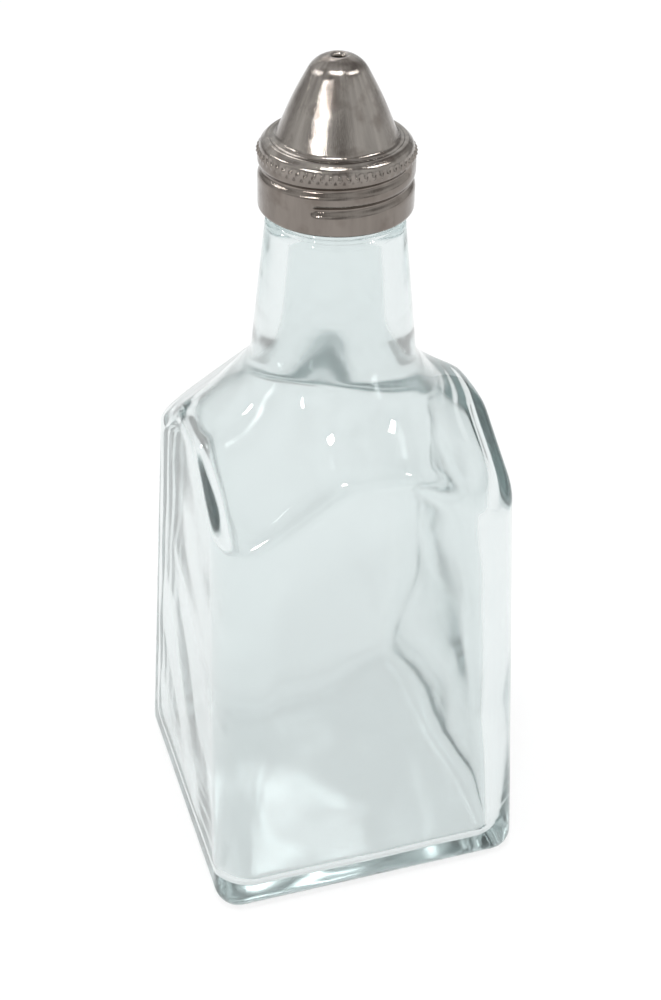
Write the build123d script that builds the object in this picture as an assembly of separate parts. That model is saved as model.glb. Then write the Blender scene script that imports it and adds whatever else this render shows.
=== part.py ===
from build123d import *
import math
import os

# Square glass cruet with a screw-on pourer top. Millimetres, +Z up.
# The origin is the centre of the base, on the surface that the bottle stands on.

# Glass body, outside
base_half = 30.0             # half the width of the square body at the base
panel_taper = 2.2            # degrees that each side panel leans inwards
panel_peak_height = 90.7     # top of a side panel's arch, at the panel's middle
base_corner_radius = 4.8     # plan radius of an upright corner at the base
corner_radius_growth = 0.055  # how much that radius grows per millimetre of height
base_edge_radius = 4.4       # rounding between the sides and the underside
push_up_radius = 19.0        # shallow hollow in the underside
push_up_depth = 0.8
shoulder_slope = 0.59        # fall per millimetre of radius on the round part of the shoulder
facet_slope = 0.90           # fall per millimetre on the four facets that face the corners
facet_start = 6.5            # distance from a panel's middle at which its facet begins
arch_edge_radius = 2.2       # rounding along the panels' arched tops

# Neck and threaded finish
neck_base_radius = 14.7
neck_top_radius = 11.45
neck_length = 29.9           # from the shoulder to the step under the top
neck_root_radius = 8.0       # hollow fillet where the neck meets the shoulder
finish_radius = 10.7         # threaded part, between the threads
finish_height = 11.7         # from the step to the lip
lip_edge_radius = 0.6
thread_pitch = 3.175
thread_height = 0.8          # how far the glass thread stands out
thread_foot = 1.5            # width of the glass thread where it leaves the wall
thread_crest = 0.8
thread_root = 0.3            # how deep each thread's section is sunk into its wall
glass_thread_turns = 1.5
glass_thread_drop = 1.8      # from the lip down to the thread's upper end
glass_thread_angle = -303.0  # degrees round from +X at which its lower end begins

# Inside of the glass
wall_thickness = 2.8
floor_thickness = 3.6
cavity_corner_radius = 4.8   # plan radius of the cavity's corners
cavity_floor_radius = 4.2
cavity_arch_radius = 3.5
crown_thickness = 3.2        # glass over the cavity, measured straight up
bore_base_radius = 9.8
bore_lip_radius = 6.3
bore_root_radius = 8.0

# Sealing washer, squeezed between the lip and the ledge of the top
washer_thickness = 0.8
washer_bore_clearance = 0.5  # from the edge of the bore to the washer's hole

# Pourer top, one piece of stamped sheet
sheet = 0.5
skirt_clearance = 0.8        # from the crest of the glass thread to the inside of the skirt
skirt_length = 11.9          # from the top of the ledge to the bottom of the rim
shoulder_bend = 1.9          # bend between the ledge and the skirt, on the sheet's middle
rim_bend = 0.4
rim_reach = 0.45             # how far the rim turns in
ledge_width = 0.75           # flat of the ledge, from the cone to the shoulder bend
cone_height = 13.7
cone_foot_bend = 0.5
cone_tip_bend = 4.2
dome_radius = 3.79           # where the cone meets the domed tip, on the sheet's middle
tip_fall = 0.9               # fall of the domed tip between the pour hole and the cone
spout_radius = 1.2           # middle of the sheet around the pour hole
spout_lip = 1.2              # depth of the turned-in lip
spout_bend = 0.4
rolled_ridge_radius = 0.9    # round section of the thread, inside the skirt
rolled_groove_radius = 0.6   # round section of the groove, outside the skirt
rolled_thread_turns = 1.25
rolled_thread_angle = -123.0  # degrees round from +X at which the rolled thread begins
thread_gap = 0.15            # least free height between the two threads when screwed down

# Heights that follow from the values above
lean = math.tan(math.radians(panel_taper))
peak_half = base_half - lean * panel_peak_height
cone_apex_z = panel_peak_height + shoulder_slope * peak_half
neck_base_z = cone_apex_z - shoulder_slope * neck_base_radius
step_z = neck_base_z + neck_length
lip_z = step_z + finish_height
washer_top_z = lip_z + washer_thickness
ledge_z = washer_top_z + sheet
rim_z = ledge_z - skirt_length
glass_thread_z = lip_z - glass_thread_drop - glass_thread_turns * thread_pitch
rolled_thread_z = (
    glass_thread_z + thread_pitch * (rolled_thread_angle - glass_thread_angle) / 360
    - thread_foot / 2 - rolled_ridge_radius / 2 - thread_gap
)
skirt_radius = finish_radius + thread_height + skirt_clearance + sheet
skirt_middle = skirt_radius - sheet / 2
cone_foot_radius = skirt_middle - shoulder_bend - ledge_width


def half_width(height):
    """Half the width of the body between two panels at a height."""
    return base_half - lean * height


def corner_radius(height):
    return base_corner_radius + corner_radius_growth * height


def shoulder_height(radius):
    """Height of the round part of the shoulder at a radius."""
    return cone_apex_z - shoulder_slope * radius


def facet_apex():
    """Height at which the four corner facets would meet on the axis."""
    middle = math.hypot(peak_half, facet_start)
    distance = (peak_half + facet_start) / math.sqrt(2)
    return shoulder_height(middle) + facet_slope * distance


def revolved(*outline):
    """Turn a closed outline of (radius, height) points about the Z axis."""
    face = make_face(Plane.XZ * Polyline(*outline, close=True))
    return revolve(face, Axis.Z)


def square_prism(inset, radius_extra, bottom, top):
    """Leaning square column whose corners open out with height."""
    sections = []
    for height in (bottom, top):
        side = 2 * (half_width(height) - inset)
        section = RectangleRounded(side, side, corner_radius(height) + radius_extra)
        sections.append(Pos(0, 0, height) * section)
    return loft(sections, ruled=True)


def corner_facets(top):
    """Four planes that face the corners, as one pointed block."""
    sections = []
    for height in (-base_half, top):
        side = 2 * (facet_apex() - height) / facet_slope
        sections.append(Pos(0, 0, height) * Rot(0, 0, 45) * Rectangle(side, side))
    return loft(sections, ruled=True)


def creases(solid, low, high, sharpest):
    """Edges between two heights at which the surface turns by more than an angle."""
    found = ShapeList()
    for edge in solid.edges():
        middle = edge @ 0.5
        if not low < middle.Z < high:
            continue
        faces = [face for face in solid.faces() if face.distance_to(middle) < 1e-4]
        if len(faces) != 2:
            continue
        turn = faces[0].normal_at(middle).get_angle(faces[1].normal_at(middle))
        if turn > sharpest:
            found.append(edge)
    return found


def helical_rib(radius, start_z, turns, start_angle, section):
    """Carry a section, drawn outwards and upwards from a point, along a right-hand helix."""
    path = Helix(thread_pitch, turns * thread_pitch, radius)
    place = Plane(origin=path @ 0, x_dir=(1, 0, 0), z_dir=path % 0)
    rib = sweep(place * section, path=path, is_frenet=True)
    return Pos(0, 0, start_z) * Rot(0, 0, start_angle) * rib


def body_outside():
    """Square body under its domed and faceted shoulder, without the neck."""
    prism = square_prism(0, 0, 0, neck_base_z + 2)
    inner = neck_base_radius / 2
    far = 2 * base_half
    dome = revolved(
        (0, -base_half), (far, -base_half), (far, shoulder_height(far)),
        (inner, shoulder_height(inner)), (0, shoulder_height(inner)),
    )
    return prism & dome & corner_facets(neck_base_z + neck_root_radius)


def neck_outside():
    """Tapered neck, the step that ends it and the finish up to the lip."""
    root_z = neck_base_z - 2 * neck_root_radius
    return revolved(
        (0, root_z), (neck_base_radius, root_z), (neck_base_radius, neck_base_z),
        (neck_top_radius, step_z), (finish_radius, step_z), (finish_radius, lip_z), (0, lip_z),
    )


def cavity():
    """The space inside the glass, with its bore open at the lip."""
    low = floor_thickness
    high = neck_base_z + 2
    room = square_prism(wall_thickness, cavity_corner_radius - base_corner_radius, low, high)
    bend = (facet_apex() - cone_apex_z) / (facet_slope - shoulder_slope)
    far = 2 * base_half
    crown = revolved(
        (0, -base_half), (far, -base_half),
        (far, facet_apex() - crown_thickness - facet_slope * far),
        (bend, shoulder_height(bend) - crown_thickness),
        (bore_base_radius / 2, shoulder_height(bore_base_radius / 2) - crown_thickness),
        (0, shoulder_height(bore_base_radius / 2) - crown_thickness),
    )
    room = room & crown
    arches = creases(room, high / 2, shoulder_height(bend) - crown_thickness - 1, 25)
    room = room.fillet(cavity_arch_radius, arches)
    room = room.fillet(cavity_floor_radius, creases(room, low - 0.1, low + 0.1, 40))
    growth = (bore_base_radius - bore_lip_radius) / (lip_z - neck_base_z)
    bottom = neck_base_z - 4 * bore_root_radius
    over = 1.0
    bore = revolved(
        (0, bottom), (bore_base_radius + growth * (neck_base_z - bottom), bottom),
        (bore_lip_radius - growth * over, lip_z + over), (0, lip_z + over),
    )
    room = room + bore
    root_z = shoulder_height(bore_base_radius) - crown_thickness
    return room.fillet(bore_root_radius, creases(room, root_z - 1.5, root_z + 1.5, 25))


def make_glass_bottle():
    bottle = body_outside()
    arches = creases(bottle, neck_base_z / 2, neck_base_z - 1, 25)
    bottle = bottle.fillet(arch_edge_radius, arches)
    bottle = bottle.fillet(base_edge_radius, creases(bottle, -0.1, 0.1, 40))
    bottle = bottle + neck_outside()
    bottle = bottle.fillet(neck_root_radius, creases(bottle, neck_base_z - 1, neck_base_z + 1, 20))
    outside = [edge for edge in creases(bottle, step_z - 0.1, step_z + 0.1, 40)
               if (edge @ 0).X ** 2 + (edge @ 0).Y ** 2 > finish_radius ** 2 + 1]
    bottle = bottle.fillet(lip_edge_radius, outside)
    bottle = bottle.fillet(lip_edge_radius, creases(bottle, lip_z - 0.1, lip_z + 0.1, 40))
    bottle = bottle - cavity()
    ball = (push_up_radius ** 2 + push_up_depth ** 2) / (2 * push_up_depth)
    bottle = bottle - Pos(0, 0, push_up_depth - ball) * Sphere(ball)
    return bottle + glass_thread()


def glass_thread():
    foot, crest = thread_foot / 2, thread_crest / 2
    section = Polygon(
        (-thread_root, -foot), (thread_height, -crest), (thread_height, crest), (-thread_root, foot),
        align=None,
    )
    return helical_rib(finish_radius, glass_thread_z, glass_thread_turns, glass_thread_angle, section)


def pourer_sheet():
    """The stamped sheet from pour hole to rim, before its thread is rolled."""
    ledge = washer_top_z + sheet / 2
    tip = ledge + cone_height
    rim = rim_z + sheet / 2
    middle = FilletPolyline(
        (spout_radius, tip - spout_lip), (spout_radius, tip), (dome_radius, tip - tip_fall),
        (cone_foot_radius, ledge), (skirt_middle, ledge), (skirt_middle, rim),
        (skirt_middle - rim_reach, rim),
        radius=[spout_bend, cone_tip_bend, cone_foot_bend, shoulder_bend, rim_bend],
    )
    outline = middle.wire().offset_2d(sheet / 2, kind=Kind.ARC, side=Side.BOTH)
    return revolve(Plane.XZ * make_face(outline), Axis.Z)


def make_pourer_cap():
    inside = skirt_middle - sheet / 2
    ridge = Circle(rolled_ridge_radius) & Pos(-rolled_ridge_radius + sheet / 3, 0) * Rectangle(
        2 * rolled_ridge_radius, 4 * rolled_ridge_radius)
    cap = pourer_sheet() + helical_rib(
        inside, rolled_thread_z, rolled_thread_turns, rolled_thread_angle, ridge)
    return cap - helical_rib(
        skirt_radius, rolled_thread_z, rolled_thread_turns, rolled_thread_angle,
        Circle(rolled_groove_radius))


def make_sealing_washer():
    """Flat ring on the lip. Its edge stops where the ledge above begins to bend down."""
    outer = skirt_middle - shoulder_bend
    inner = bore_lip_radius + washer_bore_clearance
    return revolved((inner, lip_z), (outer, lip_z), (outer, washer_top_z), (inner, washer_top_z))


os.makedirs("parts", exist_ok=True)
export_step(make_glass_bottle(), "parts/glass_bottle.step")
export_step(make_sealing_washer(), "parts/sealing_washer.step")
export_step(make_pourer_cap(), "parts/pourer_cap.step")
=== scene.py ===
"""Square glass cruet with a screw-on steel pourer top, as surfaces round a fixed CAD frame."""

import math

import bpy
import numpy as np
from bpy.props import FloatProperty, FloatVectorProperty, IntProperty, PointerProperty
from bpy.types import Operator, Panel, PropertyGroup
from mathutils import Matrix, Vector


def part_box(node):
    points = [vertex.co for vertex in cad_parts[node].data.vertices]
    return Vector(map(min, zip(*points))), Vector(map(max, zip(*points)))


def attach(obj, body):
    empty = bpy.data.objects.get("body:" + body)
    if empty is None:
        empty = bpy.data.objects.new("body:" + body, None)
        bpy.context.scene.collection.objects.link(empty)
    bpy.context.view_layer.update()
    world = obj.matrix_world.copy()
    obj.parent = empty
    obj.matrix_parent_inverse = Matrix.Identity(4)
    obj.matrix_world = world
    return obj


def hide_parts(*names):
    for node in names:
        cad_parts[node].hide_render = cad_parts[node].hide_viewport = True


bl_info = {
    "name": "Glass Cruet",
    "version": (1, 0, 0),
    "blender": (4, 5, 0),
    "location": "3D View > Sidebar > Cruet",
    "description": "Makes a square glass cruet with a screw-on pourer top and its studio",
    "category": "Add Mesh",
}

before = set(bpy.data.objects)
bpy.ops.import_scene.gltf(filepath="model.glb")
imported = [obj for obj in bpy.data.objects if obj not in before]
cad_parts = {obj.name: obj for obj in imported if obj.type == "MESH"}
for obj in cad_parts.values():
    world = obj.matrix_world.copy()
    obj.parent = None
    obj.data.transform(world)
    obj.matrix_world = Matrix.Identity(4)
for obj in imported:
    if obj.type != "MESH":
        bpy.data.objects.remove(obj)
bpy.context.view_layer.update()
BOTTLE_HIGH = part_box("glass_bottle")[1]
WASHER_LOW, WASHER_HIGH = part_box("sealing_washer")
CAP_LOW, CAP_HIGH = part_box("pourer_cap")
FULL_TURN = 2 * math.pi

# Widths, in metres, over which two surfaces of the glass melt into each other.
CONE_TO_FACET = 0.0016
SIDE_TO_SHOULDER = 0.0021
SHOULDER_TO_NECK = 0.0085
CAVITY_SIDE_TO_CROWN = 0.0036
CAVITY_TO_BORE = 0.0200

# The floor lies this far below the foot, because glass that touches it renders dark.
FLOOR_GAP = 0.0002

# Lamps: name, azimuth and elevation in degrees, distance, width and height in metres, watts.
LAMPS = (
    ("front_light", -26, 66, 0.9, (0.12, 0.08), 2.4),
    ("right_light", 62, 50, 1.0, (0.08, 0.17), 1.6),
    ("strip_light", -56, 30, 0.9, (0.035, 0.22), 1.8),
    ("left_light", -118, 34, 1.0, (0.06, 0.12), 1.0),
    ("back_light", 176, 46, 1.1, (0.40, 0.16), 1.2),
)


# ---------------------------------------------------------------------------
# Sizes and colours that can be changed
# ---------------------------------------------------------------------------

def length(name, description, default):
    """A length in metres, shown with a tenth of a millimetre."""
    return FloatProperty(name=name, description=description, default=default,
                         subtype="DISTANCE", unit="LENGTH", precision=5)


def colour(name, description, default):
    """A linear colour without alpha."""
    return FloatVectorProperty(name=name, description=description, default=default,
                               subtype="COLOR", size=3, min=0, max=1)


class GlassSettings(PropertyGroup):
    """Shape and colour of the pressed glass body."""
    base_half: length("Base Half Width", "Half the width of the body at its foot", 0.030)
    lean: FloatProperty(name="Panel Lean", description="Angle that each side leans inwards",
                        default=math.radians(2.2), subtype="ANGLE", unit="ROTATION")
    corner_radius: length("Corner Radius", "Plan radius of an upright corner at the foot", 0.0048)
    corner_growth: FloatProperty(name="Corner Growth", default=0.055,
                                 description="Gain in corner radius for each unit of height")
    edge_radius: length("Foot Radius", "Rounding between the sides and the underside", 0.0044)
    peak_height: length("Arch Height", "Top of the arch at the middle of a side", 0.0907)
    shoulder_slope: FloatProperty(name="Shoulder Slope", default=0.59,
                                  description="Fall of the round shoulder for each unit of radius")
    facet_slope: FloatProperty(name="Facet Slope", default=0.90,
                               description="Fall of the four corner facets for each unit outwards")
    facet_start: length("Facet Start", "From a side's middle to where its facet begins", 0.0065)
    neck_base_radius: length("Neck Foot Radius", "Where the neck leaves the shoulder", 0.0147)
    neck_top_radius: length("Neck Top Radius", "Radius at the step under the top", 0.01145)
    finish_height: length("Finish Height", "From the step to the lip", 0.0117)
    finish_radius: length("Finish Radius", "Threaded part, between the threads", 0.0107)
    lip_edge: length("Lip Edge", "Rounding of the lip and of the step", 0.0006)
    thread_pitch: length("Thread Pitch", "Rise of the glass thread for each turn", 0.003175)
    thread_height: length("Thread Height", "How far the glass thread stands out", 0.0008)
    thread_foot: length("Thread Foot", "Width of the glass thread at the wall", 0.0015)
    thread_crest: length("Thread Crest", "Width of the glass thread at its top", 0.0008)
    thread_drop: length("Thread Drop", "From the lip down to the thread's upper end", 0.0018)
    thread_turns: FloatProperty(name="Thread Turns", description="Length of the glass thread",
                                default=1.5)
    thread_angle: FloatProperty(name="Thread Start Angle", default=math.radians(-303),
                                description="Where the glass thread's lower end begins",
                                subtype="ANGLE", unit="ROTATION")
    push_up_radius: length("Push-up Radius", "Shallow hollow in the underside", 0.019)
    push_up_depth: length("Push-up Depth", "Rise of the underside at its middle", 0.0008)
    wall: length("Wall", "Thickness of the sides", 0.0028)
    floor: length("Floor", "Thickness of the glass under the cavity", 0.0036)
    crown: length("Crown", "Glass over the cavity, measured straight up", 0.0032)
    cavity_corner: length("Cavity Corner", "Plan radius of the cavity's corners", 0.0048)
    cavity_foot: length("Cavity Foot", "Rounding round the cavity's floor", 0.0042)
    bore_base_radius: length("Bore Foot Radius", "Bore where it meets the cavity", 0.0098)
    bore_lip_radius: length("Bore Lip Radius", "Bore at the lip", 0.0063)
    ripple: length("Ripple", "Unevenness of the inner wall", 0.00018)
    columns: IntProperty(name="Columns", description="Mesh columns round the axis",
                         default=256, min=64)
    tint: colour("Tint", "Light that a thick piece of the glass lets through", (0.50, 0.64, 0.64))
    density: FloatProperty(name="Tint Density", default=15.0,
                           description="How strongly the tint builds up for each metre of glass")


class CapSettings(PropertyGroup):
    """Shape and colour of the stamped pourer top."""
    sheet: length("Sheet", "Thickness of the metal", 0.0005)
    shoulder_bend: length("Shoulder Bend", "Bend between ledge and skirt", 0.0019)
    rim_bend: length("Rim Bend", "Bend of the turned-in rim", 0.0004)
    rim_reach: length("Rim Reach", "How far the rim turns in", 0.00045)
    cone_foot_radius: length("Cone Foot Radius", "Where the cone leaves the ledge", 0.0099)
    cone_angle: FloatProperty(name="Cone Half Angle", description="Between the cone and its axis",
                              default=math.radians(25.5), subtype="ANGLE", unit="ROTATION")
    cone_bulge: length("Cone Bulge", "How far the cone swells beyond a straight line", 0.00022)
    cone_foot_bend: length("Cone Foot Bend", "Bend where the cone meets the ledge", 0.0015)
    tip_fall: length("Tip Fall", "Fall of the domed tip between the spout and the cone", 0.0009)
    cone_tip_bend: length("Cone Tip Bend", "Bend where the cone meets the tip", 0.0042)
    spout_radius: length("Spout Radius", "Middle of the sheet round the pour hole", 0.0012)
    spout_lip: length("Spout Lip", "Depth of the turned-in lip", 0.0012)
    spout_bend: length("Spout Bend", "Bend of the turned-in lip", 0.0004)
    thread_pitch: length("Thread Pitch", "Rise of the thread for each turn", 0.003175)
    groove_depth: length("Groove Depth", "Depth of the rolled thread", 0.00070)
    groove_width: length("Groove Width", "Half width of the rolled thread", 0.00066)
    groove_rise: length("Groove Start", "From the rim up to the groove's lower end", 0.0043)
    groove_angle: FloatProperty(name="Groove Start Angle", description="Where the groove begins",
                                default=math.radians(-129), subtype="ANGLE", unit="ROTATION")
    groove_turns: FloatProperty(name="Groove Turns", description="Length of the groove",
                                default=1.25)
    bead_count: IntProperty(name="Beads", description="Raised beads round the shoulder", default=58)
    bead_drop: length("Bead Drop", "From the ledge down to the line of beads", 0.0019)
    bead_height: length("Bead Height", "How far a bead stands out", 0.00058)
    bead_width: length("Bead Width", "Half the height of a bead", 0.00042)
    waist_depth: length("Waist Depth", "Depth of the channel that the beads stand in", 0.00036)
    waist_width: length("Waist Width", "Half the height of that channel", 0.00090)
    ring_radius: length("Ring Radius", "Raised ring on the ledge, round the cone", 0.01125)
    ring_height: length("Ring Height", "How far the ring stands up", 0.00016)
    ring_width: length("Ring Width", "Half the width of the ring", 0.00030)
    metal: colour("Metal", "Clean metal", (0.33, 0.30, 0.274))
    # This colour paints real tarnish and water marks, and also the painted dark reflection down the
    # skirt.
    stain_and_shade: colour("Stain", "Tarnish and water marks", (0.13, 0.104, 0.088))


class StudioSettings(PropertyGroup):
    """Camera and floor."""
    azimuth: FloatProperty(name="Azimuth", description="Camera's angle round the bottle",
                           default=math.radians(-18.18), subtype="ANGLE", unit="ROTATION")
    elevation: FloatProperty(name="Elevation", description="Camera's angle above the floor",
                             default=math.radians(34.63), subtype="ANGLE", unit="ROTATION")
    roll: FloatProperty(name="Roll", description="Camera's tilt about its own line of sight",
                        default=math.radians(1.04), subtype="ANGLE", unit="ROTATION")
    distance: length("Distance", "From the aim point to the camera", 0.3167)
    aim_height: length("Aim Height", "Height of the point on the axis that the camera faces", 0.070)
    lens: FloatProperty(name="Lens", description="Focal length in millimetres on 36 mm",
                        default=62.5)
    floor: colour("Floor", "Colour of the floor", (0.24, 0.24, 0.24))
    glow: FloatProperty(name="Floor Glow", description="Light that the floor gives by itself",
                        default=0.76)


# ---------------------------------------------------------------------------
# Shared mesh and node helpers
# ---------------------------------------------------------------------------

def soft_min(first, second, width):
    """The smaller of two surfaces, less a parabola of a given width where they come close."""
    near = np.clip(width - np.abs(first - second), 0, None) / width
    return np.minimum(first, second) - near * near * width / 4


def soft_max(first, second, width):
    """The larger of two surfaces, with the same rounded change from one to the other."""
    return -soft_min(-first, -second, width)


def ease(share):
    """Smooth step: three times the square less twice the cube, on a share cut to 0 to 1."""
    share = np.clip(share, 0, 1)
    return share * share * (3 - 2 * share)


def helix_wave(turn, height, start, start_angle, turns, pitch, fade, section):
    """Sum, over the passes of a right-hand helix, of a section of the height above the helix.

    The helix stands at start plus pitch times the turns gone by, and fades in and out at its ends.
    """
    total = np.zeros(np.broadcast(turn, height).shape)
    for lap in range(math.ceil(turns)):
        gone = (turn - start_angle) % FULL_TURN + FULL_TURN * lap
        left = FULL_TURN * turns - gone
        ends = ease(np.minimum(gone, left) / fade)
        total = total + ends * section(height - start - pitch * gone / FULL_TURN)
    return total


def ripples(turn, height, seed):
    """Unit waves over a wall: eight sines of whole waves round the axis and a few up the height."""
    random = np.random.default_rng(seed)
    total = 0
    for _ in range(8):
        around = random.integers(1, 9)
        upward = random.uniform(-300, 300)
        phase = random.uniform(0, FULL_TURN)
        total = total + np.sin(around * turn + upward * height + phase) / math.sqrt(8)
    return total


def round_mesh(name, radius, height, turn, poles=()):
    """Mesh from rows of (radius, height) turned by the angles of the columns.

    Rows run so that the solid lies on their left in the half plane of radius and height, which
    makes the faces point outwards. Poles names the ends, "first" and "last", whose row is closed
    by one point on the axis. With no poles the last row joins the first.
    """
    radius, height, turn = np.broadcast_arrays(radius, height, turn)
    points = np.stack([radius * np.cos(turn), radius * np.sin(turn), height], axis=-1)
    rows, columns = radius.shape
    index = np.arange(rows * columns).reshape(rows, columns)
    below = index[:-1] if poles else index
    above = index[1:] if poles else np.roll(index, -1, axis=0)
    quads = np.stack([below, np.roll(below, -1, 1), np.roll(above, -1, 1), above], axis=-1)
    faces = quads.reshape(-1, 4).tolist()
    points = points.reshape(-1, 3)
    for pole in poles:
        ring = index[0] if pole == "first" else index[-1]
        order = (ring, np.roll(ring, -1)) if pole == "last" else (np.roll(ring, -1), ring)
        centre = np.full(columns, len(points))
        faces += np.stack([*order, centre], axis=-1).tolist()
        points = np.concatenate([points, [[0, 0, points[ring, 2].mean()]]])
    mesh = bpy.data.meshes.new(name)
    mesh.from_pydata(points.tolist(), [], faces)
    mesh.polygons.foreach_set("use_smooth", np.ones(len(mesh.polygons), bool))
    mesh.update()
    piece = bpy.data.objects.new(name, mesh)
    bpy.context.scene.collection.objects.link(piece)
    return piece


def new_material(name):
    """Empty node material with its Principled shader and output, and a function that adds nodes."""
    material = bpy.data.materials.new(name)
    material.use_nodes = True
    tree = material.node_tree
    tree.nodes.clear()
    output = tree.nodes.new("ShaderNodeOutputMaterial")
    shader = tree.nodes.new("ShaderNodeBsdfPrincipled")
    tree.links.new(shader.outputs["BSDF"], output.inputs["Surface"])

    def add(kind, links=None, **values):
        node = tree.nodes.new(kind)
        for key, value in values.items():
            if key in node.inputs:
                node.inputs[key].default_value = value
            else:
                setattr(node, key, value)
        for key, socket in (links or {}).items():
            tree.links.new(socket, node.inputs[key])
        return node

    return material, tree, shader, output, add


def set_sockets(shader, **values):
    """Set sockets of a shader by name, with underscores for blanks."""
    for key, value in values.items():
        shader.inputs[key.replace("_", " ")].default_value = value


def noise(add, vector, scale, detail=3.0, low=0.35, high=0.65):
    """Noise on a vector, stretched so that low becomes 0 and high becomes 1."""
    texture = add("ShaderNodeTexNoise", {"Vector": vector}, Scale=scale, Detail=detail)
    spread = add("ShaderNodeMapRange", {"Value": texture.outputs["Fac"]})
    spread.inputs["From Min"].default_value = low
    spread.inputs["From Max"].default_value = high
    return spread.outputs["Result"]


def mix_colour(add, factor, first, second):
    """Colour that goes from one to another with a factor. Each is a colour or a socket."""
    node = add("ShaderNodeMix", {"Factor": factor}, data_type="RGBA")
    for slot, value in (("A", first), ("B", second)):
        socket = [each for each in node.inputs if each.name == slot and each.type == "RGBA"][0]
        if isinstance(value, bpy.types.NodeSocket):
            node.id_data.links.new(value, socket)
        else:
            socket.default_value = (*value, 1)
    return [each for each in node.outputs if each.type == "RGBA"][0]


def span(add, factor, low, high):
    """Number that goes from low to high with a factor of 0 to 1."""
    node = add("ShaderNodeMapRange", {"Value": factor})
    node.inputs["To Min"].default_value = low
    node.inputs["To Max"].default_value = high
    return node.outputs["Result"]


# ---------------------------------------------------------------------------
# Glass body
# ---------------------------------------------------------------------------

def rounded_square(turn, half, corner):
    """Distance from the axis to a square with round corners, at an angle.

    It is the flat side as long as the point lies short of the arc's centre, and past that the far
    crossing with a circle of the corner's radius about that centre.
    """
    cosine, sine = np.abs(np.cos(turn)), np.abs(np.sin(turn))
    flat = half / np.maximum(cosine, sine)
    centre = half - corner
    along = (cosine + sine) * centre
    arc = along + np.sqrt(np.maximum(along ** 2 - 2 * centre ** 2 + corner ** 2, 0))
    return np.where(flat * np.minimum(cosine, sine) <= centre, flat, arc)


class GlassShape:
    """Surfaces of the bottle as distances from its axis at an angle and a height."""

    def __init__(self, settings):
        self.s = settings
        self.lean = math.tan(settings.lean)
        peak_half = settings.base_half - self.lean * settings.peak_height
        self.cone_apex = settings.peak_height + settings.shoulder_slope * peak_half
        middle = math.hypot(peak_half, settings.facet_start)
        across = (peak_half + settings.facet_start) / math.sqrt(2)
        self.facet_apex = (self.cone_apex - settings.shoulder_slope * middle
                           + settings.facet_slope * across)
        self.neck_foot = self.cone_apex - settings.shoulder_slope * settings.neck_base_radius
        self.lip = BOTTLE_HIGH.z
        self.step = self.lip - settings.finish_height

    def panels(self, turn, height, inset, corner):
        """Four leaning sides, set in, with corners that open out with height."""
        half = self.s.base_half - self.lean * height - inset
        radius = corner + self.s.corner_growth * height
        return rounded_square(turn, half, radius)

    def shoulder(self, turn, height, drop):
        """Cone that falls from the axis, cut by four planes that face the corners."""
        cone = (self.cone_apex - drop - height) / self.s.shoulder_slope
        reach = np.abs(np.cos(turn)) + np.abs(np.sin(turn))
        facets = (self.facet_apex - drop - height) / self.s.facet_slope * math.sqrt(2) / reach
        return soft_min(cone, facets, CONE_TO_FACET)

    def neck(self, height):
        """Straight taper from the shoulder to the step."""
        return np.interp(height, [self.neck_foot, self.step],
                         [self.s.neck_base_radius, self.s.neck_top_radius])

    def outside(self, turn, height, inset=0.0):
        """Sides under the shoulder, and the neck that grows out of it."""
        corner = self.s.corner_radius - inset
        sides = self.panels(turn, height, inset, corner)
        body = soft_min(sides, self.shoulder(turn, height, 0), SIDE_TO_SHOULDER)
        return soft_max(body, self.neck(height), SHOULDER_TO_NECK)

    def bore(self, height):
        """Slow taper of the bore, from the cavity to the lip."""
        return np.interp(height, [self.neck_foot, self.lip],
                         [self.s.bore_base_radius, self.s.bore_lip_radius])

    def inside(self, turn, height, inset=0.0):
        """Cavity: the same sides and shoulder set in, opening into the bore."""
        corner = self.s.cavity_corner - inset
        sides = self.panels(turn, height, self.s.wall + inset, corner)
        room = soft_min(sides, self.shoulder(turn, height, self.s.crown), CAVITY_SIDE_TO_CROWN)
        return soft_max(room, self.bore(height), CAVITY_TO_BORE)


def quarter(radius, count):
    """(rise, inset) pairs along a quarter circle that leaves a floor and ends on a wall."""
    angle = np.linspace(0, math.pi / 2, count + 1)[1:]
    return radius * (1 - np.cos(angle)), radius * (1 - np.sin(angle))


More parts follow.
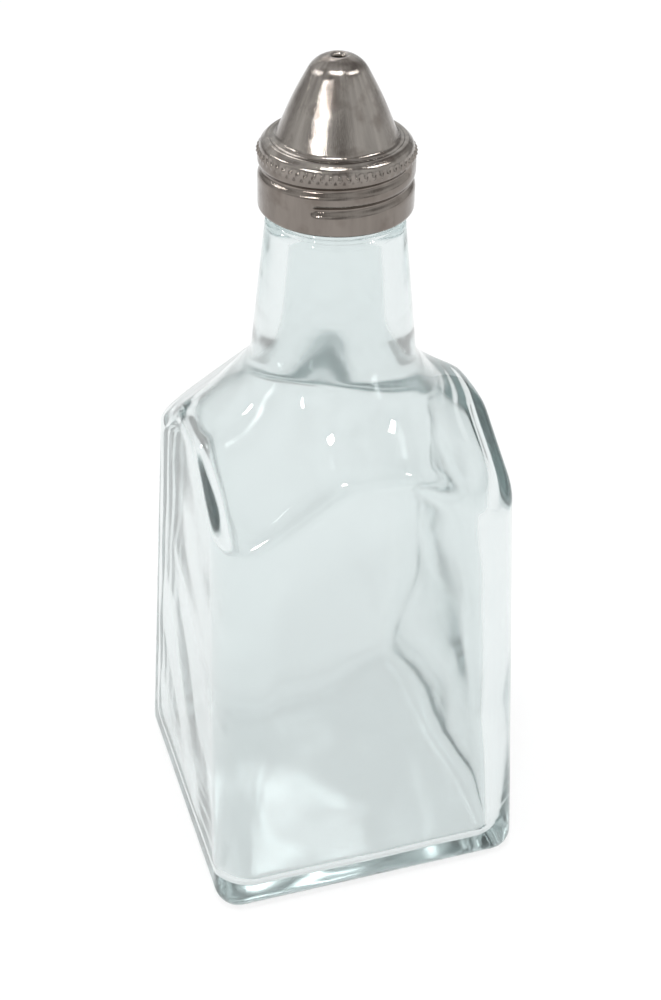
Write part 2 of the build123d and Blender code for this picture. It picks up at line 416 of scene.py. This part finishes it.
def glass_rows(settings):
    """Rows of the bottle from under its foot, up the outside, over the lip and down the inside.

    Returns radii and heights on a grid whose columns crowd towards the four corners: the angle is
    a steady one plus a sine of four waves to the turn.
    """
    shape = GlassShape(settings)
    steady = np.linspace(0, FULL_TURN, settings.columns, endpoint=False)[None, :]
    turn = steady + 0.11 * np.sin(4 * steady)
    radii, heights = [], []

    def put(radius, height):
        radius, height = np.broadcast_arrays(radius, height)
        radii.append(np.broadcast_to(radius, (radius.shape[0], settings.columns)))
        heights.append(np.broadcast_to(height, (radius.shape[0], settings.columns)))

    # Underside: a shallow ball-shaped hollow, then the flat band that the bottle stands on.
    hollow = settings.push_up_radius * np.linspace(0.1, 1, 9)[:, None]
    put(hollow + 0 * turn, settings.push_up_depth * (1 - (hollow / settings.push_up_radius) ** 2))
    rim = shape.outside(turn, np.zeros((1, 1)), settings.edge_radius)
    share = np.linspace(0, 1, 5)[1:, None]
    put(settings.push_up_radius * (1 - share) + rim * share, np.zeros((4, 1)))

    # Outside: the rounded foot, the sides, the shoulder and the neck.
    rise, inset = quarter(settings.edge_radius, 10)
    put(shape.outside(turn, rise[:, None], inset[:, None]), rise[:, None])
    low, high = 0.058, shape.neck_foot + 0.008
    sides = np.linspace(settings.edge_radius, low, 20)[1:, None]
    put(shape.outside(turn, sides), sides)
    shoulder = np.linspace(low, high, 112)[1:, None]
    put(shape.outside(turn, shoulder), shoulder)
    neck = np.linspace(high, shape.step - settings.lip_edge, 16)[1:, None]
    put(shape.outside(turn, neck), neck)

    # Finish: the step, the threaded wall and the rounded lip.
    round_off = settings.lip_edge
    rise, inset = quarter(round_off, 4)
    put(settings.neck_top_radius - inset[::-1, None], shape.step - rise[::-1, None])
    wall = np.linspace(shape.step, shape.lip - round_off, 40)[:, None]

    def thread(above):
        """Height of a flat-topped ridge: full between its crest's edges, none past its foot."""
        flank = (settings.thread_foot - settings.thread_crest) / 2
        share = (settings.thread_foot / 2 - np.abs(above)) / flank
        return settings.thread_height * np.clip(share, 0, 1)

    start = shape.lip - settings.thread_drop - settings.thread_turns * settings.thread_pitch
    rib = helix_wave(turn, wall, start, settings.thread_angle, settings.thread_turns,
                     settings.thread_pitch, 0.35, thread)
    put(settings.finish_radius + rib, wall)
    put(settings.finish_radius - inset[::-1, None], shape.lip - rise[::-1, None])
    put(settings.bore_lip_radius + inset[:, None], shape.lip - rise[:, None])

    # Inside: the bore, the crown, the sides and the round floor of the cavity.
    lip_row = sum(len(part) for part in radii)
    low, high = 0.056, shape.neck_foot + 0.003
    bore = np.linspace(shape.lip - round_off, high, 20)[1:, None]
    put(shape.inside(turn, bore), bore)
    crown = np.linspace(high, low, 96)[1:, None]
    foot = settings.floor + settings.cavity_foot
    sides = np.linspace(low, foot, 18)[1:, None]
    for band in (crown, sides):
        calm = ease((shape.neck_foot - band) / 0.012) * ease((band - foot) / 0.010)
        uneven = settings.ripple * calm * ripples(turn, band, 7)
        put(shape.inside(turn, band) + uneven, band)
    rise, inset = quarter(settings.cavity_foot, 10)
    rise, inset = rise[::-1][1:], inset[::-1][1:]
    level = settings.floor + rise[:, None]
    put(shape.inside(turn, level, inset[:, None]), level)
    rim = shape.inside(turn, np.full((1, 1), settings.floor), settings.cavity_foot)
    put(rim * np.linspace(1, 0.08, 12)[:, None], np.full((12, 1), settings.floor))
    return np.concatenate(radii), np.concatenate(heights), turn, lip_row


def glass_material(settings):
    """Clear pressed glass: a faint green-grey tint with depth, smudges and a slow surface wave.

    The inner wall, marked by the mesh's inner attribute, is hazier than the outside.
    """
    material, tree, shader, output, add = new_material("pressed_glass")
    set_sockets(shader, Transmission_Weight=1.0, IOR=1.51, Metallic=0.0)
    shader.inputs["Base Color"].default_value = (0.86, 0.895, 0.895, 1)
    place = add("ShaderNodeTexCoord").outputs["Object"]
    smudge = noise(add, place, 55, detail=5, low=0.46, high=0.74)
    inner = add("ShaderNodeAttribute", attribute_name="inner")
    haze = span(add, inner.outputs["Fac"], 0.0, 0.09)
    rough = add("ShaderNodeMath", {0: span(add, smudge, 0.0, 0.07), 1: haze}, operation="ADD")
    tree.links.new(rough.outputs[0], shader.inputs["Roughness"])
    wave = noise(add, place, 42, detail=1.5, low=0.2, high=0.8)
    bump = add("ShaderNodeBump", {"Height": wave}, Strength=0.5, Distance=0.0008)
    tree.links.new(bump.outputs["Normal"], shader.inputs["Normal"])
    depth = add("ShaderNodeVolumeAbsorption", Density=settings.density)
    depth.inputs["Color"].default_value = (*settings.tint, 1)
    tree.links.new(depth.outputs["Volume"], output.inputs["Volume"])
    return material


class CRUET_OT_glass(Operator):
    """Build the glass bottle as one closed wall, inside and out"""
    bl_idname = "cruet.glass"
    bl_label = "Glass Bottle"

    def execute(self, context):
        settings = context.scene.cruet_glass
        radius, height, turn, lip_row = glass_rows(settings)
        piece = round_mesh("bottle_glass", radius, height, turn, poles=("first", "last"))
        piece.data.materials.append(glass_material(settings))
        inner = np.arange(len(piece.data.vertices)) >= lip_row * settings.columns
        inner[-2] = False
        mark = piece.data.attributes.new("inner", "FLOAT", "POINT")
        mark.data.foreach_set("value", inner.astype(np.float32))
        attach(piece, "bottle")
        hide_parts("glass_bottle")
        return {"FINISHED"}


# ---------------------------------------------------------------------------
# Sealing washer
# ---------------------------------------------------------------------------

def washer_material():
    """Pale soft plastic foam with a fine skin."""
    material, tree, shader, _, add = new_material("soft_washer")
    place = add("ShaderNodeTexCoord").outputs["Object"]
    grain = noise(add, place, 2600, detail=4)
    tone = mix_colour(add, grain, (0.80, 0.78, 0.72), (0.70, 0.67, 0.60))
    tree.links.new(tone, shader.inputs["Base Color"])
    tree.links.new(span(add, grain, 0.55, 0.75), shader.inputs["Roughness"])
    bump = add("ShaderNodeBump", {"Height": grain}, Strength=0.3, Distance=0.00005)
    tree.links.new(bump.outputs["Normal"], shader.inputs["Normal"])
    return material


class CRUET_OT_washer(Operator):
    """Build the soft washer between the lip and the top"""
    bl_idname = "cruet.washer"
    bl_label = "Sealing Washer"

    def execute(self, context):
        glass = context.scene.cruet_glass
        inner, outer = glass.bore_lip_radius + 0.0005, WASHER_HIGH.x
        # A ring whose section is a squared-off oval: cosine and sine, each raised to a low power.
        turn = np.linspace(0, FULL_TURN, 128, endpoint=False)[None, :]
        angle = np.linspace(0, FULL_TURN, 28, endpoint=False)[:, None]
        squared = [np.sign(wave) * np.abs(wave) ** 0.4 for wave in (np.cos(angle), np.sin(angle))]
        radius = (inner + outer) / 2 + (outer - inner) / 2 * squared[0]
        middle = (WASHER_LOW.z + WASHER_HIGH.z) / 2
        height = middle + (WASHER_HIGH.z - WASHER_LOW.z) / 2 * squared[1]
        piece = round_mesh("soft_washer", radius, height, turn)
        piece.data.materials.append(washer_material())
        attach(piece, "washer")
        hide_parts("sealing_washer")
        return {"FINISHED"}


# ---------------------------------------------------------------------------
# Pourer top
# ---------------------------------------------------------------------------

def bent_path(corners, bends, step):
    """Points along straight runs joined by arcs, with the left-hand normal at each.

    Each arc's tangent length is its radius times the tangent of half the turn. Runs and arcs are
    cut into equal parts of about one step.
    """
    corners = np.array(corners)
    points, normals = [], []
    start = corners[0]
    for index in range(1, len(corners)):
        along = corners[index] - corners[index - 1]
        heading = along / np.linalg.norm(along)
        normal = np.array([-heading[1], heading[0]])
        last = index == len(corners) - 1
        end, sweep = corners[index], 0.0
        if not last:
            after = corners[index + 1] - corners[index]
            after = after / np.linalg.norm(after)
            sweep = math.atan2(heading[0] * after[1] - heading[1] * after[0], heading @ after)
            bend = bends[index - 1]
            end = corners[index] - heading * bend * math.tan(abs(sweep) / 2)
        count = max(1, round(np.linalg.norm(end - start) / step))
        share = np.linspace(0, 1, count, endpoint=False)[:, None]
        points.append(start + (end - start) * share)
        normals.append(np.repeat(normal[None, :], count, axis=0))
        start = end
        if last:
            points.append(end[None, :])
            normals.append(normal[None, :])
        else:
            side = math.copysign(1, sweep)
            centre = end + normal * bend * side
            count = max(4, round(bend * abs(sweep) / step))
            angle = sweep * np.linspace(0, 1, count, endpoint=False)
            cosine, sine = np.cos(angle), np.sin(angle)
            turned = np.stack([normal[0] * cosine - normal[1] * sine,
                               normal[0] * sine + normal[1] * cosine], axis=-1)
            points.append(centre - turned * bend * side)
            normals.append(turned)
            start = centre - np.array([-after[1], after[0]]) * bend * side
    return np.concatenate(points), np.concatenate(normals)


class CapShape:
    """The stamped sheet: its middle line, and how far the sheet is pushed out at each point."""

    def __init__(self, settings):
        s = self.s = settings
        self.ledge = WASHER_HIGH.z + s.sheet / 2
        self.tip = CAP_HIGH.z - s.sheet / 2
        self.rim = CAP_LOW.z + s.sheet / 2
        self.skirt = CAP_HIGH.x - s.sheet / 2
        dome = self.tip - s.tip_fall
        cone_top = s.cone_foot_radius - (dome - self.ledge) * math.tan(s.cone_angle)
        self.corners = [
            (s.spout_radius, self.tip - s.spout_lip), (s.spout_radius, self.tip),
            (cone_top, dome), (s.cone_foot_radius, self.ledge), (self.skirt, self.ledge),
            (self.skirt, self.rim), (self.skirt - s.rim_reach, self.rim),
        ]
        self.bends = [s.spout_bend, s.cone_tip_bend, s.cone_foot_bend, s.shoulder_bend, s.rim_bend]

    def pushed(self, turn, points):
        """Swell of the cone, a raised ring on the ledge, the beads and the rolled thread."""
        s = self.s
        radius, height = points[:, 0][:, None], points[:, 1][:, None]
        rise = (height - self.ledge) / (self.tip - self.ledge)
        swell = s.cone_bulge * np.sin(math.pi * np.clip(rise, 0, 1)) ** 2
        on_ledge = ease(1 - np.abs(height - self.ledge) / 0.0006)
        ring = s.ring_height * np.exp(-((radius - s.ring_radius) / s.ring_width) ** 2)
        beads = (0.5 + 0.5 * np.cos(s.bead_count * turn)) ** 2
        below = height - self.ledge + s.bead_drop
        band = np.exp(-(below / s.bead_width) ** 2)
        waist = -s.waist_depth * np.exp(-(below / s.waist_width) ** 2)
        skirt = radius > self.skirt - 0.001
        start = CAP_LOW.z + s.groove_rise

        def dent(above):
            return -s.groove_depth * np.exp(-(above / s.groove_width) ** 2)

        groove = helix_wave(turn, height, start, s.groove_angle, s.groove_turns,
                            s.thread_pitch, 0.14, dent)
        return swell + on_ledge * ring + skirt * (waist + s.bead_height * beads * band + groove)


def sheet_rows(settings, turn):
    """Rows round the section of the sheet: outside from rim to spout, inside back to the rim.

    A row is the middle line, moved along its normal by half the sheet plus the push at that point.
    Each end is closed by half a circle.
    """
    shape = CapShape(settings)
    points, normals = bent_path(shape.corners, shape.bends, 0.00024)
    half = settings.sheet / 2
    push = shape.pushed(turn, points)

    def side(rows, offset):
        moved = push[rows] + offset
        return (points[rows, 0][:, None] + normals[rows, 0][:, None] * moved,
                points[rows, 1][:, None] + normals[rows, 1][:, None] * moved)

    def end(row, outward):
        angle = np.radians([-45, 0, 45])[:, None] * outward
        ahead = np.array([normals[row, 1], -normals[row, 0]]) * outward
        moved = push[row] + half * np.sin(angle) * outward
        reach = half * np.cos(angle)
        return (points[row, 0] + normals[row, 0] * moved + ahead[0] * reach,
                points[row, 1] + normals[row, 1] * moved + ahead[1] * reach)

    outer = np.arange(len(points))[::-1]
    inner = np.unique(np.append(np.arange(0, len(points), 3), len(points) - 1))
    spout = end(0, -1)
    rim = end(len(points) - 1, 1)
    parts = [side(outer, half), [part[::-1] for part in spout], side(inner, -half), rim]
    return np.concatenate([p[0] for p in parts]), np.concatenate([p[1] for p in parts])


def steel_material(settings):
    """Worn stainless sheet: fine marks up the cone, water stains, and painted shade that darkens
    the skirt below the ledge, standing in for the dark surroundings that it reflects.
    """
    material, tree, shader, _, add = new_material("worn_steel")
    set_sockets(shader, Metallic=1.0, Anisotropic=0.35)
    place = add("ShaderNodeTexCoord").outputs["Object"]
    flat = add("ShaderNodeVectorMath", {0: place}, operation="MULTIPLY")
    flat.inputs[1].default_value = (1, 1, 0)
    outward = add("ShaderNodeVectorMath", {0: flat.outputs[0]}, operation="NORMALIZE")
    upward = add("ShaderNodeVectorMath", {0: place}, operation="MULTIPLY")
    upward.inputs[1].default_value = (0, 0, 14)
    around = add("ShaderNodeVectorMath", {0: outward.outputs[0], 1: upward.outputs[0]},
                 operation="ADD")
    marks = noise(add, around.outputs[0], 95, detail=4, low=0.3, high=0.7)
    bands = noise(add, around.outputs[0], 7, detail=3, low=0.35, high=0.65)
    stains = noise(add, place, 260, detail=6, low=0.50, high=0.72)
    tone = mix_colour(add, bands, settings.metal, [value * 0.80 for value in settings.metal])
    tone = mix_colour(add, span(add, stains, 0, 0.65), tone, settings.stain_and_shade)
    part = add("ShaderNodeSeparateXYZ", {"Vector": place})
    # Painted reflection: the skirt is darkened below the ledge with the stain colour, in place of
    # the dark surroundings that the skirt reflects.
    low = add("ShaderNodeMapRange", {"Value": part.outputs["Z"]})
    low.inputs["From Min"].default_value = WASHER_HIGH.z
    low.inputs["From Max"].default_value = WASHER_HIGH.z - 0.003
    low.inputs["To Max"].default_value = 0.45
    tone = mix_colour(add, low.outputs["Result"], tone, settings.stain_and_shade)
    tree.links.new(tone, shader.inputs["Base Color"])
    worn, brushed = span(add, stains, 0.05, 0.16), span(add, marks, -0.02, 0.05)
    rough = add("ShaderNodeMath", {0: worn, 1: brushed}, operation="ADD")
    tree.links.new(rough.outputs[0], shader.inputs["Roughness"])
    bump = add("ShaderNodeBump", {"Height": marks}, Strength=0.25, Distance=0.00004)
    tree.links.new(bump.outputs["Normal"], shader.inputs["Normal"])
    return material


class CRUET_OT_cap(Operator):
    """Build the stamped pourer top with its beads, rolled thread and turned-in spout"""
    bl_idname = "cruet.cap"
    bl_label = "Pourer Top"

    def execute(self, context):
        settings = context.scene.cruet_cap
        columns = 8 * settings.bead_count
        turn = np.linspace(0, FULL_TURN, columns, endpoint=False)[None, :]
        radius, height = sheet_rows(settings, turn)
        piece = round_mesh("pourer_top", radius, height, turn)
        piece.data.materials.append(steel_material(settings))
        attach(piece, "cap")
        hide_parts("pourer_cap")
        return {"FINISHED"}


# ---------------------------------------------------------------------------
# Studio
# ---------------------------------------------------------------------------

def from_angles(azimuth, elevation):
    """Unit vector towards a place at an angle round the bottle and an angle above the floor."""
    return Vector((math.sin(azimuth) * math.cos(elevation),
                   -math.cos(azimuth) * math.cos(elevation), math.sin(elevation)))


def soft_box(name, azimuth, elevation, distance, size, power, aim):
    """Rectangular lamp that faces the aim point from a given direction, in degrees."""
    light = bpy.data.lights.new(name, "AREA")
    light.shape = "RECTANGLE"
    light.size, light.size_y = size
    light.energy = power
    lamp = bpy.data.objects.new(name, light)
    toward = from_angles(math.radians(azimuth), math.radians(elevation))
    lamp.location = aim + toward * distance
    lamp.rotation_euler = toward.to_track_quat("Z", "Y").to_euler()
    bpy.context.scene.collection.objects.link(lamp)


def add_camera(settings, aim):
    """Camera turned to face the aim point, then rolled about its line of sight."""
    data = bpy.data.cameras.new("studio_camera")
    data.lens = settings.lens
    data.clip_start = 0.01
    camera = bpy.data.objects.new("studio_camera", data)
    back = from_angles(settings.azimuth, settings.elevation)
    right = Vector((math.cos(settings.azimuth), math.sin(settings.azimuth), 0))
    axes = Matrix((right, back.cross(right), back)).transposed()
    turned = axes @ Matrix.Rotation(settings.roll, 3, "Z")
    camera.matrix_world = Matrix.Translation(aim + back * settings.distance) @ turned.to_4x4()
    bpy.context.scene.collection.objects.link(camera)
    bpy.context.scene.camera = camera


class CRUET_OT_studio(Operator):
    """Build the pale floor, the soft light and the camera"""
    bl_idname = "cruet.studio"
    bl_label = "Studio"

    def execute(self, context):
        settings = context.scene.cruet_studio
        aim = Vector((0, 0, settings.aim_height))
        turn = np.linspace(0, FULL_TURN, 96, endpoint=False)[None, :]
        radius = np.linspace(3.0, 0.2, 8)[:, None]
        floor = round_mesh("floor", radius, np.full((8, 1), -FLOOR_GAP), turn, poles=("last",))
        material, _, shader, _, _ = new_material("floor_paper")
        set_sockets(shader, Roughness=0.95, Specular_IOR_Level=0.1)
        shader.inputs["Base Color"].default_value = (*settings.floor, 1)
        # A light table: part of the floor's brightness comes from below, so it shines up the glass.
        set_sockets(shader, Emission_Strength=settings.glow)
        shader.inputs["Emission Color"].default_value = (1, 1, 1, 1)
        floor.data.materials.append(material)
        for lamp in LAMPS:
            soft_box(*lamp, aim)
        world = bpy.data.worlds.new("studio_air")
        world.use_nodes = True
        air = world.node_tree.nodes["Background"]
        air.inputs["Strength"].default_value = 0.95
        tree = world.node_tree
        # The room is pale, with slow grey patches that give the glass and metal something to show.
        way = tree.nodes.new("ShaderNodeTexCoord").outputs["Generated"]
        patches = tree.nodes.new("ShaderNodeTexNoise")
        patches.inputs["Scale"].default_value = 1.9
        patches.inputs["Detail"].default_value = 1.0
        tree.links.new(way, patches.inputs["Vector"])
        ramp = tree.nodes.new("ShaderNodeValToRGB")
        ramp.color_ramp.elements[0].position = 0.40
        ramp.color_ramp.elements[0].color = (0.40, 0.395, 0.39, 1)
        ramp.color_ramp.elements[1].position = 0.56
        ramp.color_ramp.elements[1].color = (0.97, 0.99, 0.99, 1)
        tree.links.new(patches.outputs["Fac"], ramp.inputs["Fac"])
        tree.links.new(ramp.outputs["Color"], air.inputs["Color"])
        context.scene.world = world
        # Light turns many times inside thick glass before it comes out again.
        for kind in ("max_bounces", "glossy_bounces", "transmission_bounces"):
            setattr(context.scene.cycles, kind, 24)
        context.scene.view_settings.view_transform = "Standard"
        add_camera(settings, aim)
        return {"FINISHED"}


class CRUET_PT_panel(Panel):
    """Buttons for each piece and the studio, with their sizes"""
    bl_label = "Glass Cruet"
    bl_idname = "CRUET_PT_panel"
    bl_space_type = "VIEW_3D"
    bl_region_type = "UI"
    bl_category = "Cruet"

    def draw(self, context):
        for operator, _ in STEPS:
            self.layout.operator(operator.bl_idname)
        for name in SETTINGS:
            box = self.layout.box()
            group = getattr(context.scene, name)
            for key in group.bl_rna.properties.keys():
                if key not in ("rna_type", "name"):
                    box.prop(group, key)


SETTINGS = {"cruet_glass": GlassSettings, "cruet_cap": CapSettings, "cruet_studio": StudioSettings}
STEPS = (
    (CRUET_OT_glass, bpy.ops.cruet.glass),
    (CRUET_OT_washer, bpy.ops.cruet.washer),
    (CRUET_OT_cap, bpy.ops.cruet.cap),
    (CRUET_OT_studio, bpy.ops.cruet.studio),
)


def register():
    for name, group in SETTINGS.items():
        bpy.utils.register_class(group)
        setattr(bpy.types.Scene, name, PointerProperty(type=group))
    for operator, _ in STEPS:
        bpy.utils.register_class(operator)
    bpy.utils.register_class(CRUET_PT_panel)


def unregister():
    bpy.utils.unregister_class(CRUET_PT_panel)
    for operator, _ in reversed(STEPS):
        bpy.utils.unregister_class(operator)
    for name, group in reversed(SETTINGS.items()):
        delattr(bpy.types.Scene, name)
        bpy.utils.unregister_class(group)


def main():
    register()
    for _, build in STEPS:
        build()


if __name__ == "__main__":
    main()
